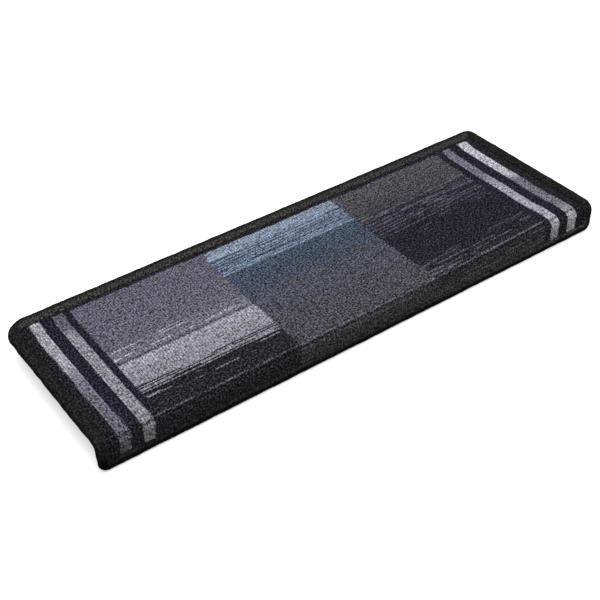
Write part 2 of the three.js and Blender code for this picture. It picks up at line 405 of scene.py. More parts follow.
# Thin streaks along x: the colour they have, and how much of the field they take, along s
STREAKS = {
    "left_panel": [
        (104, "#9a98a5", 0.0),
        (108, "#a19fab", 0.32),
        (111, "#a19fab", 0.32),
        (115, "#9a98a5", 0.05),
        (119.5, "#9a98a5", 0.15),
        (121.5, "#a8a6b1", 0.38),
        (123.7, "#9a98a5", 0.33),
        (125.5, "#9a98a5", 0.0),
        (165.8, "#131218", 0.0),
        (167.5, "#131218", 0.36),
        (169.1, "#131218", 0.62),
        (170.8, "#131218", 0.15),
        (172.4, "#131218", 0.72),
        (174.1, "#131218", 0.15),
        (175.7, "#131218", 0.3),
        (177.4, "#131218", 0.88),
        (179.0, "#131218", 0.1),
        (180.7, "#131218", 0.88),
        (182.3, "#131218", 0.75),
        (184.0, "#17161c", 0.0),
        (185.6, "#17161c", 0.82),
        (187.3, "#1b1a1f", 0.3),
        (188.9, "#1b1a1f", 0.78),
        (190.6, "#1b1a1f", 0.85),
        (192.2, "#1f1d24", 0.3),
        (193.9, "#1f1d24", 0.92),
        (195.5, "#211f26", 1.0),
    ],
    "middle_panel": [
        (22, "#6f7a8b", 0.2),
        (40, "#66738a", 0.25),
        (42, "#4c5a71", 0.4),
        (43.7, "#3f4c62", 0.92),
        (45.4, "#5a687e", 0.1),
        (47, "#5a687e", 0.15),
        (48.7, "#3d4a60", 0.92),
        (50.3, "#5a687e", 0.1),
        (52, "#4c5a71", 0.35),
        (53.6, "#3d4a60", 0.9),
        (55.3, "#5a687e", 0.15),
        (56.9, "#3f4c62", 0.85),
        (58.6, "#5a687e", 0.15),
        (60.2, "#4c5a71", 0.3),
        (61.9, "#38455a", 0.94),
        (63.5, "#39465c", 0.75),
        (65.2, "#5a687e", 0.1),
        (66.8, "#5a687e", 0.1),
        (68.5, "#39465c", 0.88),
        (70.1, "#5a687e", 0.1),
        (73, "#414d62", 0.2),
        (76, "#414d62", 0.0),
    ],
    "right_panel": [
        (62, "#57555e", 0.0),
        (74, "#5a5861", 0.3),
        (88, "#57555e", 0.42),
        (112, "#504e57", 0.4),
        (126, "#48464f", 0.32),
        (136, "#403e48", 0.15),
        (142, "#4a4852", 0.0),
        (180, "#4a4852", 0.0),
        (186, "#4d4b54", 0.4),
        (195, "#4d4b54", 0.36),
        (204, "#5b5962", 0.46),
        (212, "#63616a", 0.5),
        (214.5, "#4d4b54", 0.1),
        (221, "#4d4b54", 0.1),
        (226, "#57555e", 0.3),
        (236, "#57555e", 0.36),
    ],
}
STREAK_PITCH = 1.65
STREAK_LENGTH = 60
STREAK_SLOPE = 0.03  # from the right panel on, how far streaks climb to the back for each millimetre
STREAK_VARIETY = 0.06
STREAK_SPREAD = 3.7  # how far apart neighbouring streaks are in their noise
STREAK_EDGES = (0.76, 0.24)  # levels of that noise that hardly any and nearly all of it lies above
STREAK_BLUR = 0.03
STREAK_LEAST = 0.08  # share of the field below which streaks fade
STREAK_BEAT = 0.1  # how much more likely streaks are at the distances of BEATS
BEATS = {"right_panel": (5.7, 87.0)}  # how far apart those distances are, and one of them

# How far edges at these places lean right near the back edge and over the nose, and where along s they do
LEANS = [(36, 1.5), (231, 3.5), (409.5, 0.9), (595, 3.0)]
LEAN_END = (22, 44)
NOSE_LEANS = [(36, 1.2), (595, 2.4)]
NOSE_LEAN_START = (165, 200)
NOSE_LEAN_END = (212, 230)

EDGE_BLUR = 0.5  # half the width over which one field gives way to the next
BACK_BLUR = 1  # and over which a field starts
ROW_SHIFT = 0.45  # how far a row of loops takes the print on or back
PRINT_WAVE = 0.9  # how far the print waves to the sides
PRINT_WAVE_SIZE = (38, 90)  # along s and along x
PRINT_WAVE_LEVELS = (0.2, 0.8)  # of its noise, at which it reaches that far, each to one side
GROUND_CHANGE = (300, 350)  # along x, from the left to the right margin's colour
STRIPES_END = (288, 291)  # off the middle, from the ground by the stripes to the margins

# Along the nose, where the pile opens, a pale broken line of painted highlight, with painted shade past it.
NOSE_LINE = 211.5
NOSE_LINE_WIDTHS = (0.3, 1.5)
NOSE_LINE_BREAK = 26  # along x
NOSE_LINE_LEVELS = (0.34, 0.66)  # of its noise, for the least and the most of the line
NOSE_HIGHLIGHT_COLOR = "#7b7982"
NOSE_LINE_LEAST = 0.08
NOSE_LINE_MOST = (0.6, 0.35)  # at its left and its right
NOSE_LINE_CHANGE = (160, 420)  # along x, from the one to the other
NOSE_LINE_ENDS = (240, 285)  # off the middle, where it fades out
NOSE_SHADE = 0.4
NOSE_SHADE_PLACE = 3  # past the line
NOSE_SHADE_WIDTHS = (0.6, 2.4)
LIP_START = (208, 220)  # along s
LIP_SATURATION = 0.4

LOOP_TONE = 0.36  # how much loops differ, as a share of their colour
FLECK_TONE = 0.86
FLECK_SIZE = 2.0
FLECK_LIGHT = 0.066  # light added by flecks, whatever the colour
BLUE_OF_FLECKS = 1.15
LEAST_LIGHT = 0.002
ROW_GAP = 0.22  # how far the painted shade between two rows reaches, in rows
ROW_GAP_SHADE = 0.5
FIBRE_SIZE = (0.55, 0.9)

# The whipping's yarn, in millimetres round the band and across it
YARN_TONE = 0.18  # how much turns differ
YARN_FLUFF = 2.6  # how much light fluff adds or takes
YARN_FLUFF_SIZE = 2.4
YARN_LEAST = 0.15
YARN_FIBRE_SIZE = (0.5, 1.4)
TURN_GAP = 0.3  # how far the painted shade between two turns reaches, in turns
TURN_GAP_SHADE = 0.55

# The underside, in millimetres
BACKING_COLOR = "#262628"
BACKING_GRID = 5.0
BACKING_RIDGE = (0.02, 0.16)  # from the middle of a ridge to its foot, in cells of the grid
BACKING_RIDGE_LIGHT = (0.6, 1.15)
BACKING_GRAIN_SIZE = 1.2
BACKING_GRAIN_LIGHT = (0.85, 1.15)
BACKING_GRAIN_RELIEF = 0.35

NOISE_RANGE = (0.3, 0.7)  # that noise mostly keeps to

# Second place of each random draw or noise, which keeps them apart
ROW_DRAW = 3.0
STREAK_DRAW = 11.0
NOSE_LINE_DRAW = 7.0
YARN_DRAW = 5.0


def pile_material():
    shader = Shader("looped_pile", roughness=0.97, specular=0.05)
    x, s = shader.sheet_places()
    row = shader.math("ROUND", shader.math("DIVIDE", x, ROW_PITCH / MM))
    color = print_color(shader, x, s, row)
    shader.plug(shader.surface.inputs["Base Color"], loop_tones(shader, color, x, s, row))
    fibre = shader.noise(shader.scaled(x, s, *FIBRE_SIZE), detail=4, roughness=0.6)
    shader.bump(fibre, distance=0.6 * MM, strength=0.7)
    return shader.material


def print_color(shader, x, s, row):
    """Colour of the print: the fields on their ground, the painted highlight and painted shade along the
    nose, and more neutral colours on the lip."""
    across, along = print_places(shader, x, s, row)
    past = shader.math("MAXIMUM", shader.math("SUBTRACT", x, FIELDS["right_panel"][0]), 0.0)
    level = shader.math("ADD", s, shader.math("MULTIPLY", past, STREAK_SLOPE))
    line = shader.math("FLOOR", shader.math("DIVIDE", level, STREAK_PITCH))
    line_s = shader.math("MULTIPLY", shader.math("ADD", line, 0.5), STREAK_PITCH)
    streaks = streak_noise(shader, x, line)
    off_middle = shader.math("ABSOLUTE", shader.math("SUBTRACT", x, LENGTH / MM / 2))
    color = ground_color(shader, x, off_middle)
    for name, (left, right, back) in FIELDS.items():
        inside = shader.math(
            "MULTIPLY",
            shader.spread(across, left - EDGE_BLUR, left + EDGE_BLUR),
            shader.spread(across, right - EDGE_BLUR, right + EDGE_BLUR, 1, 0),
        )
        inside = shader.math("MULTIPLY", inside, shader.spread(along, back - BACK_BLUR, back + BACK_BLUR))
        color = shader.mix(inside, color, field_color(shader, name, along, line_s, streaks))
    color = nose_highlight_and_shade(shader, color, x, level, off_middle)
    pure = shader.node("HueSaturation")
    shader.plug(pure.inputs["Saturation"], shader.spread(s, *LIP_START, 1, LIP_SATURATION))
    shader.plug(pure.inputs["Color"], color)
    return pure.outputs[0]


def print_places(shader, x, s, row):
    """Where the print is read. Each row of loops takes it a little on or back, it waves slightly to the
    sides, and its edges lean near the back edge and over the nose."""
    row_shift = shader.spread(
        shader.draw(shader.vector(row, ROW_DRAW)), 0, 1, -ROW_SHIFT, ROW_SHIFT, "LINEAR"
    )
    along = shader.math("ADD", s, row_shift)
    half_row = ROW_PITCH / MM / 2
    near_row = shader.math("MULTIPLY", shader.math("ROUND", shader.math("DIVIDE", x, half_row)), half_row)
    wave = shader.noise(shader.scaled(s, x, *PRINT_WAVE_SIZE), detail=1)
    across = shader.math(
        "ADD", near_row, shader.spread(wave, *PRINT_WAVE_LEVELS, -PRINT_WAVE, PRINT_WAVE, "LINEAR")
    )
    lean = shader.math("MULTIPLY", shader.steps(x, LEANS), shader.spread(s, *LEAN_END, 1, 0))
    over_nose = shader.math(
        "MULTIPLY", shader.spread(s, *NOSE_LEAN_START), shader.spread(s, *NOSE_LEAN_END, 1, 0)
    )
    nose_lean = shader.math("MULTIPLY", shader.steps(x, NOSE_LEANS), over_nose)
    return shader.math("SUBTRACT", across, shader.math("ADD", lean, nose_lean)), along


def streak_noise(shader, x, line):
    """Noise drawn out along x, different on each line."""
    line_bias = shader.spread(
        shader.draw(shader.vector(line, STREAK_DRAW)), 0, 1, -STREAK_VARIETY, STREAK_VARIETY, "LINEAR"
    )
    place = shader.vector(
        shader.math("DIVIDE", x, STREAK_LENGTH), shader.math("MULTIPLY", line, STREAK_SPREAD)
    )
    return shader.math("ADD", shader.noise(place, detail=2, roughness=0.6), line_bias)


def ground_color(shader, x, off_middle):
    """Colour between the fields, and in the margins outside them."""
    margin = shader.mix(shader.spread(x, *GROUND_CHANGE), linear(GROUND_AT_LEFT), linear(GROUND_AT_RIGHT))
    by_stripes = shader.spread(off_middle, *STRIPES_END, 1, 0)
    return shader.mix(by_stripes, margin, linear(GROUND_BY_STRIPES))


def field_color(shader, name, along, line_s, streaks):
    """Colour of one field: its print along s, and over it the streaks that cross it."""
    depth = SHEET_DEPTH / MM
    place = shader.math("DIVIDE", along, depth)
    color = shader.ramp(place, [(s / depth, linear(value)) for s, value in PRINT[name]])
    if name not in STREAKS:
        return color
    if name in BEATS:
        apart, first = BEATS[name]
        phase = shader.math("MULTIPLY", shader.math("SUBTRACT", line_s, first), 2 * math.pi / apart)
        beat = shader.math("MULTIPLY", shader.math("COSINE", phase), STREAK_BEAT)
        streaks = shader.math("ADD", streaks, beat)
    place = shader.math("DIVIDE", line_s, depth)
    streak_color = shader.ramp(place, [(s / depth, linear(value)) for s, value, _ in STREAKS[name]])
    share = shader.ramp(place, [(s / depth, [part, part, part, 1]) for s, _, part in STREAKS[name]])
    edge = shader.spread(share, 0, 1, *STREAK_EDGES, "LINEAR")
    shown = shader.spread(shader.math("SUBTRACT", streaks, edge), -STREAK_BLUR, STREAK_BLUR)
    shown = shader.math("MULTIPLY", shown, shader.spread(share, 0, STREAK_LEAST))
    return shader.mix(shown, color, streak_color)


def nose_highlight_and_shade(shader, color, x, level, off_middle):
    """The print with a pale broken line of painted highlight where the fold opens the pile, and painted
    shade past it.
    """
    break_up = shader.noise(
        shader.vector(shader.math("DIVIDE", x, NOSE_LINE_BREAK), NOSE_LINE_DRAW), detail=4, roughness=0.6
    )
    off_line = shader.math("ABSOLUTE", shader.math("SUBTRACT", level, NOSE_LINE))
    on_line = shader.spread(off_line, *NOSE_LINE_WIDTHS, 1, 0)
    most = shader.spread(x, *NOSE_LINE_CHANGE, *NOSE_LINE_MOST)
    shown = shader.spread(break_up, *NOSE_LINE_LEVELS, NOSE_LINE_LEAST, most)
    nose_highlight = shader.math("MULTIPLY", on_line, shown)
    nose_highlight = shader.math("MULTIPLY", nose_highlight, shader.spread(off_middle, *NOSE_LINE_ENDS, 1, 0))
    color = shader.mix(nose_highlight, color, linear(NOSE_HIGHLIGHT_COLOR))
    # painted shade just past the line
    off_shade = shader.math("ABSOLUTE", shader.math("SUBTRACT", level, NOSE_LINE + NOSE_SHADE_PLACE))
    return shader.scale_color(color, shader.spread(off_shade, *NOSE_SHADE_WIDTHS, NOSE_SHADE, 1))


def loop_tones(shader, color, x, s, row):
    """Loops differ in tone, flecks of yarn differ more, and painted shade darkens all where two rows of
    loops meet.
    """
    stagger = shader.math("MULTIPLY", shader.math("PINGPONG", row, 1.0), 0.5)
    turn = shader.math(
        "ROUND", shader.math("SUBTRACT", shader.math("DIVIDE", s, LOOP_LENGTH / MM), stagger)
    )
    tone = shader.draw(shader.vector(row, turn))
    fleck = shader.noise(shader.scaled(x, s, FLECK_SIZE, FLECK_SIZE), detail=2, roughness=0.7)
    fleck = shader.spread(fleck, *NOISE_RANGE, -1.0, 1.0, "LINEAR")
    # painted shade where two rows of loops meet
    beside = shader.math("PINGPONG", shader.math("ADD", shader.math("DIVIDE", x, ROW_PITCH / MM), 0.5), 0.5)
    row_gap_shade = shader.spread(beside, 0.0, ROW_GAP, ROW_GAP_SHADE, 1.0)
    light = shader.math(
        "ADD",
        shader.spread(tone, 0, 1, 1 - LOOP_TONE, 1 + LOOP_TONE, "LINEAR"),
        shader.math("MULTIPLY", fleck, FLECK_TONE),
    )
    color = shader.scale_color(color, shader.math("MULTIPLY", light, row_gap_shade))
    return shader.add_light(color, shader.math("MULTIPLY", fleck, FLECK_LIGHT))


def yarn_material():
    shader = Shader("whipping_yarn", roughness=0.95, specular=0.04)
    turn = shader.attribute("turn")
    inset = shader.attribute("inset")
    around = shader.math("MULTIPLY", turn, YARN_PITCH / MM)
    tone = shader.draw(shader.vector(shader.math("FLOOR", shader.math("ADD", turn, 0.5)), YARN_DRAW))
    fluff_place = shader.scaled(around, inset, YARN_FLUFF_SIZE, YARN_FLUFF_SIZE)
    fluff = shader.noise(fluff_place, detail=3, roughness=0.7)
    light = shader.math(
        "ADD",
        shader.spread(tone, 0, 1, 1 - YARN_TONE, 1 + YARN_TONE, "LINEAR"),
        shader.spread(fluff, *NOISE_RANGE, -YARN_FLUFF, YARN_FLUFF, "LINEAR"),
    )
    light = shader.math("MAXIMUM", light, YARN_LEAST)
    # painted shade between two turns of yarn
    between = shader.math("PINGPONG", shader.math("ADD", turn, 0.5), 0.5)
    light = shader.math("MULTIPLY", light, shader.spread(between, 0.0, TURN_GAP, TURN_GAP_SHADE, 1.0))
    # painted light and shade across the band: darker at the rim, lighter at the back and on the lip's upper
    # part
    light = shader.math("MULTIPLY", light, painted_edge_light(shader, inset))
    shader.plug(shader.surface.inputs["Base Color"], shader.scale_color(linear(YARN_COLOR), light))
    fibre = shader.noise(shader.scaled(around, inset, *YARN_FIBRE_SIZE), detail=4, roughness=0.65)
    shader.bump(fibre, distance=0.5 * MM, strength=0.8)
    return shader.material


def painted_edge_light(shader, inset):
    """Painted light and shade on the yarn across the band, which differ at the sides, at the back and on
    the lip.
    """
    along_lip = shader.steps(shader.attribute("from_left"), LIP_PAINTED_LIGHT_ALONG)
    lip_painted_light = shader.math("MULTIPLY", shader.steps(inset, LIP_PAINTED_LIGHT), along_lip)
    light = shader.steps(inset, SIDE_PAINTED_SHADE)
    for name, painted_light_there in (("at_back", shader.steps(inset, BACK_PAINTED_LIGHT)), ("on_lip", lip_painted_light)):
        light = shader.spread(shader.attribute(name), 0, 1, light, painted_light_there)
    return light


def backing_material():
    shader = Shader("anti_slip_backing", roughness=0.7, specular=0.35)
    places = shader.sheet_places()
    cells = [shader.math("PINGPONG", shader.math("DIVIDE", place, BACKING_GRID), 0.5) for place in places]
    ridge = shader.spread(shader.math("MINIMUM", *cells), *BACKING_RIDGE)
    grain = shader.noise(shader.scaled(*places, BACKING_GRAIN_SIZE, BACKING_GRAIN_SIZE), detail=3)
    light = shader.math(
        "MULTIPLY",
        shader.spread(ridge, 0, 1, *BACKING_RIDGE_LIGHT, "LINEAR"),
        shader.spread(grain, *NOISE_RANGE, *BACKING_GRAIN_LIGHT, "LINEAR"),
    )
    shader.plug(shader.surface.inputs["Base Color"], shader.scale_color(linear(BACKING_COLOR), light))
    height = shader.math("ADD", ridge, shader.math("MULTIPLY", grain, BACKING_GRAIN_RELIEF))
    shader.bump(height, distance=0.5 * MM, strength=0.8)
    return shader.material


def off_the_band(x, s):
    """Signed distance from the band's inner edge, less than nothing on the open pile."""
    low_x, high_x = LEFT_BAND - LENGTH / 2, LENGTH / 2 - RIGHT_BAND
    low_s, high_s = BACK_BAND, SHEET_DEPTH - LIP_BAND
    on_left, at_back = x < 0, s < SHEET_DEPTH / 2
    back = np.where(on_left, BACK_LEFT_CORNER - LEFT_BAND, BACK_RIGHT_CORNER - RIGHT_BAND)
    lip = np.where(on_left, LIP_LEFT_CORNER - LEFT_BAND, LIP_RIGHT_CORNER - RIGHT_BAND)
    radius = np.maximum(np.where(at_back, back, lip), INNER_CORNER)
    over_x = np.abs(x - (low_x + high_x) / 2) - (high_x - low_x) / 2 + radius
    over_s = np.abs(s - (low_s + high_s) / 2) - (high_s - low_s) / 2 + radius
    outside = np.hypot(np.maximum(over_x, 0), np.maximum(over_s, 0))
    return np.minimum(np.maximum(over_x, over_s), 0) + outside - radius


def grid_lines(length, step, low_band, high_band):
    """Lines of the grid and the number of each in steps: fine on open pile, coarse under the band."""
    start = math.ceil((low_band - FINE_UNDER) / step)
    stop = math.floor((length - high_band + FINE_UNDER) / step)
    fine = np.arange(start, stop + 1)
    low, high = fine[0] * step, fine[-1] * step
    before = np.linspace(CUT_EDGE, low, round((low - CUT_EDGE) / HIDDEN_STEP) + 1)[:-1]
    after = np.linspace(high, length - CUT_EDGE, round((length - CUT_EDGE - high) / HIDDEN_STEP) + 1)[1:]
    places = np.concatenate([before, fine * step, after])
    numbers = np.arange(start - len(before), stop + 1 + len(after))
    return places, numbers


def round_corners(x, s):
    """Draws the grid's square corners in to the sheet's rounded ones. x is from the left end."""
    x, s = x.copy(), s.copy()
    corners = [
        (0, 0, BACK_LEFT_CORNER),
        (1, 0, BACK_RIGHT_CORNER),
        (0, 1, LIP_LEFT_CORNER),
        (1, 1, LIP_RIGHT_CORNER),
    ]
    for on_right, on_lip, corner in corners:
        size = corner - CUT_EDGE
        centre_x = LENGTH - corner if on_right else corner
        centre_s = SHEET_DEPTH - corner if on_lip else corner
        a = (x - centre_x) * (1 if on_right else -1)
        b = (s - centre_s) * (1 if on_lip else -1)
        inside = (a > 0) & (b > 0)
        reach = np.maximum(a, b) / size
        full = np.maximum(a, b) / np.maximum(np.hypot(a, b), TINY)
        drawn_in = smooth((reach - SQUARE_PART) / (1 - SQUARE_PART))
        factor = np.where(inside, 1 - (1 - full) * drawn_in, 1)
        x = centre_x + (x - centre_x) * factor
        s = centre_s + (s - centre_s) * factor
    return x, s


def looped(x, s, column_numbers, row_numbers):
    """The pile's grid strayed a little, its depths below the plane of the pile, and which of its points
    are the tops of loops."""
    k, m = np.meshgrid(column_numbers, row_numbers, indexing="ij")
    uncovered = smooth((PILE_START - off_the_band(x - LENGTH / 2, s)) / PILE_RISE)
    draw = np.random.RandomState(LOOP_SEED)
    on_row = k % 2 == 0
    crest = on_row & (m % 2 == (k // 2) % 2)
    height = np.where(crest, 1.0, np.where(on_row, ROW_HEIGHT, FURROW_HEIGHT))
    height = height + draw.uniform(-HEIGHT_VARIETY, HEIGHT_VARIETY, height.shape)
    x = x + draw.uniform(-PLACE_VARIETY, PLACE_VARIETY, x.shape) * ROW_PITCH * uncovered
    s = s + draw.uniform(-PLACE_VARIETY, PLACE_VARIETY, s.shape) * LOOP_LENGTH * uncovered
    level = PILE_WAVE * (wander(x, PILE_WAVE_X, WAVE_SEEDS[0]) + wander(s, PILE_WAVE_S, WAVE_SEEDS[1]))
    depth = SQUEEZED + (LOOP_HEIGHT * (PILE_HEIGHT - height) - level - SQUEEZED) * uncovered
    return x, s, depth, crest


def pile_faces(index, crest):
    """Two triangles for each cell, divided through the top of a loop."""
    a, b = index[:-1, :-1], index[:-1, 1:]
    c, d = index[1:, 1:], index[1:, :-1]
    apex = (crest[:-1, :-1] | crest[1:, 1:])[..., None]
    first = np.where(apex, np.stack([a, b, c], -1), np.stack([a, b, d], -1))
    second = np.where(apex, np.stack([a, c, d], -1), np.stack([b, c, d], -1))
    return np.concatenate([first.reshape(-1, 3), second.reshape(-1, 3)])


def underside_faces(under, columns, rows):
    """The pile's outline, and inside it one line of the grid in a few, but each one on the fold."""
    count_x, count_s = under.shape
    kept_x = np.unique(np.r_[np.arange(1, count_x - 1, UNDER_EVERY), count_x - 2])
    bent = (rows > TREAD_RUN - LOOP_LENGTH) & (rows < TREAD_RUN + NOSE_RUN + LOOP_LENGTH)
    kept_s = np.unique(np.r_[np.arange(1, count_s - 1, UNDER_EVERY), count_s - 2, np.flatnonzero(bent)])
    inner_x, inner_s = columns[kept_x], rows[kept_s]
    inner = under[np.ix_(kept_x, kept_s)]
    a, b = inner[:-1, :-1], inner[:-1, 1:]
    c, d = inner[1:, 1:], inner[1:, :-1]
    return np.concatenate([
        np.stack([a, d, c], -1).reshape(-1, 3),
        np.stack([a, c, b], -1).reshape(-1, 3),
        zipped(under[:, 0], inner[:, 0], columns, inner_x),
        zipped(under[-1, :], inner[-1, :], rows, inner_s),
        zipped(under[::-1, -1], inner[::-1, -1], -columns[::-1], -inner_x[::-1]),
        zipped(under[0, ::-1], inner[0, ::-1], -rows[::-1], -inner_s[::-1]),
    ])


def zipped(outer, inner, outer_places, inner_places):
    """Triangles between two rows of points, each point given with its place along the side."""
    faces = []
    i = j = 0
    while i < len(outer) - 1 or j < len(inner) - 1:
        last_inner = j == len(inner) - 1
        if last_inner or (i < len(outer) - 1 and outer_places[i + 1] <= inner_places[j + 1]):
            faces.append((outer[i], outer[i + 1], inner[j]))
            i += 1
        else:
            faces.append((outer[i], inner[j + 1], inner[j]))
            j += 1
    return np.array(faces)


def wall_uvs(sheet, rim, following, shape):
    """UVs of the cut edge, one strip beside the sheet for each of its sides."""
    count_x, count_s = shape
    side_of = np.repeat([0, 1, 2, 3], [count_x - 1, count_s - 1, count_x - 1, count_s - 1])
    along_x = (side_of % 2 == 0)[:, None]
    here = np.where(along_x, sheet[rim, :1], sheet[rim, 1:])
    ahead = np.where(along_x, sheet[following, :1], sheet[following, 1:])
    shift = WALL_SHIFT + WALL_SPACING * side_of[:, None]
    drop = [0, THICKNESS / SHEET_SCALE]
    a, b = np.hstack([here, shift]), np.hstack([ahead, shift])
    return np.concatenate([np.stack([a, b, b + drop], 1), np.stack([a, b + drop, a + drop], 1)])


def carpet():
    columns, column_numbers = grid_lines(LENGTH, ROW_PITCH / 2, LEFT_BAND, RIGHT_BAND)
    rows, row_numbers = grid_lines(SHEET_DEPTH, LOOP_LENGTH / 2, BACK_BAND, LIP_BAND)
    x, s = round_corners(*np.meshgrid(columns, rows, indexing="ij"))
    x, s, depth, crest = looped(x, s, column_numbers, row_numbers)
    top = fold(x - LENGTH / 2, s, depth)
    bottom = fold(x - LENGTH / 2, s, np.full_like(x, THICKNESS))
    points = np.concatenate([top.reshape(-1, 3), bottom.reshape(-1, 3)])

    index = np.arange(x.size).reshape(x.shape)
    rim = np.concatenate([index[:-1, 0], index[-1, :-1], index[:0:-1, -1], index[0, :0:-1]])
    following = np.roll(rim, -1)
    top_faces = pile_faces(index, crest)
    under_faces = underside_faces(index + index.size, columns, rows)
    wall_faces = np.concatenate([
        np.stack([rim, following, following + index.size], -1),
        np.stack([rim, following + index.size, rim + index.size], -1),
    ])
    faces = np.concatenate([top_faces, under_faces, wall_faces])

    sheet = np.stack([x.ravel(), s.ravel()], -1) / SHEET_SCALE
    uvs = np.concatenate([
        sheet[top_faces],
        sheet[under_faces - index.size] + [0, UNDER_SHIFT],
        wall_uvs(sheet, rim, following, index.shape),
    ])
    on_backing = np.ones(len(faces), dtype=int)
    on_backing[:len(top_faces)] = 0
    used, numbers = np.unique(faces, return_inverse=True)
    return new_piece(
        "carpet_pile",
        points[used],
        numbers.reshape(faces.shape),
        uvs,
        [pile_material(), backing_material()],
        face_materials=on_backing,
    )


def edge_path(inset, side, t):
    """Place on the sheet at an inset from its edge. Sides 0 to 3 are back, right, lip and left, and the
    corner after each side is a side of its own, from 4. t runs from 0 to 1 along each."""
    corners = [BACK_RIGHT_CORNER, LIP_RIGHT_CORNER, LIP_LEFT_CORNER, BACK_LEFT_CORNER]
    br, lr, ll, bl = [np.maximum(corner - inset, INNER_CORNER) for corner in corners]
    low_x, high_x = inset - LENGTH / 2, LENGTH / 2 - inset
    low_s, high_s = inset, SHEET_DEPTH - inset
    bend = t * math.pi / 2
    reach_sin, reach_cos = np.sin(bend), np.cos(bend)
    ends = [
        (low_x + bl + (high_x - br - low_x - bl) * t, low_s),
        (high_x, low_s + br + (high_s - lr - low_s - br) * t),
        (high_x - lr - (high_x - lr - low_x - ll) * t, high_s),
        (low_x, high_s - ll - (high_s - ll - low_s - bl) * t),
        (high_x - br * (1 - reach_sin), low_s + br * (1 - reach_cos)),
        (high_x - lr * (1 - reach_cos), high_s - lr * (1 - reach_sin)),
        (low_x + ll * (1 - reach_sin), high_s - ll * (1 - reach_cos)),
        (low_x + bl * (1 - reach_cos), low_s + bl * (1 - reach_sin)),
    ]
    x, s = np.zeros_like(inset), np.zeros_like(inset)
    for number, (end_x, end_s) in enumerate(ends):
        x = np.where(side == number, end_x, x)
        s = np.where(side == number, end_s, s)
    return x, s


def band_stations():
    """The side, the place along it, the band's width and the distance round the edge, at each step of the
    yarn."""
    corners = [BACK_RIGHT_CORNER, LIP_RIGHT_CORNER, LIP_LEFT_CORNER, BACK_LEFT_CORNER]
    widths = [BACK_BAND, RIGHT_BAND, LIP_BAND, LEFT_BAND]
    spans = [LENGTH, SHEET_DEPTH, LENGTH, SHEET_DEPTH]
    sides, places, width = [], [], []
    for number in range(4):
        straight = spans[number] - corners[number - 1] - corners[number]
        steps = round(straight / YARN_PITCH) * YARN_STEPS
        sides.append(np.full(steps, number))
        places.append(np.arange(steps) / steps)
        width.append(np.full(steps, widths[number]))
        steps = round(corners[number] * math.pi / 2 / YARN_PITCH) * YARN_STEPS
        t = np.arange(steps) / steps
        sides.append(np.full(steps, number + 4))
        places.append(t)
        width.append(widths[number] + (widths[(number + 1) % 4] - widths[number]) * smooth(t))
    sides, places, width = (np.concatenate(part) for part in (sides, places, width))
    return sides, places, width, np.arange(len(sides)) * YARN_PITCH / YARN_STEPS


def band_section():
    """Section from the inner edge on the pile round the rim to the underside and back through the
    channel. For each point it gives the share of the band's width, the inset on top of that, the depth,
    and how much of the relief it has."""
    rim = THICKNESS / 2
    section = []
    for a in np.linspace(1, 0, CROWN_STEPS, endpoint=False):
        tuck = TUCK * float(smooth((a - TUCK_START) / (1 - TUCK_START)))
        crown = BAND_CROWN * math.sin(math.pi * min(a / CROWN_END, 1)) ** CROWN_POWER
        section.append((a, rim, tuck - crown, 1))
    for angle in np.linspace(0, math.pi, RIM_STEPS):
        section.append((0, rim * (1 - math.sin(angle)), rim * (1 - math.cos(angle)), 1))
    section += [
        (0, (rim + UNDER_BAND) / 2, THICKNESS, UNDER_RELIEF[0]),
        (0, UNDER_BAND, THICKNESS, UNDER_RELIEF[1]),
        (0, UNDER_BAND, THICKNESS - BAND_WALL, 0),
        (0, RIM_WALL, THICKNESS - BAND_WALL, 0),
        (0, RIM_WALL, BAND_WALL + SEAM_GAP, 0),
        (1, rim, BAND_WALL + SEAM_GAP, 0),
    ]
    return [np.array(column) for column in zip(*section)]


def outward(share, base, depth):
    """How inset and depth change straight out of the section, at each of its points."""
    section = np.stack([base + share * USUAL_CROWN, depth], -1)
    run = np.roll(section, -1, axis=0) - np.roll(section, 1, axis=0)
    run /= np.linalg.norm(run, axis=1, keepdims=True)
    return -run[:, 1], run[:, 0]


def closed_wave(round_trip, counts, phases):
    """Waves that meet themselves after one trip round the edge, so many of each kind."""
    return sum(np.sin(round_trip * count + phase) for count, phase in zip(counts, phases)) / 2


def strip_uvs(count, around):
    """UVs of the band's faces, in strips one above another on the map."""
    strip_length = count / STRIPS
    station = np.repeat(np.arange(count), around)
    strip = np.floor(station / strip_length)
    u = (station - strip * strip_length) / (strip_length + 1)
    v = (strip + np.tile(np.arange(around), count) / (around + 1)) / STRIPS
    du, dv = 1 / (strip_length + 1), 1 / (around + 1) / STRIPS
    corners = [(u, v), (u + du, v), (u + du, v + dv), (u, v + dv)]
    return np.stack([np.stack(corner, -1) for corner in corners], 1)


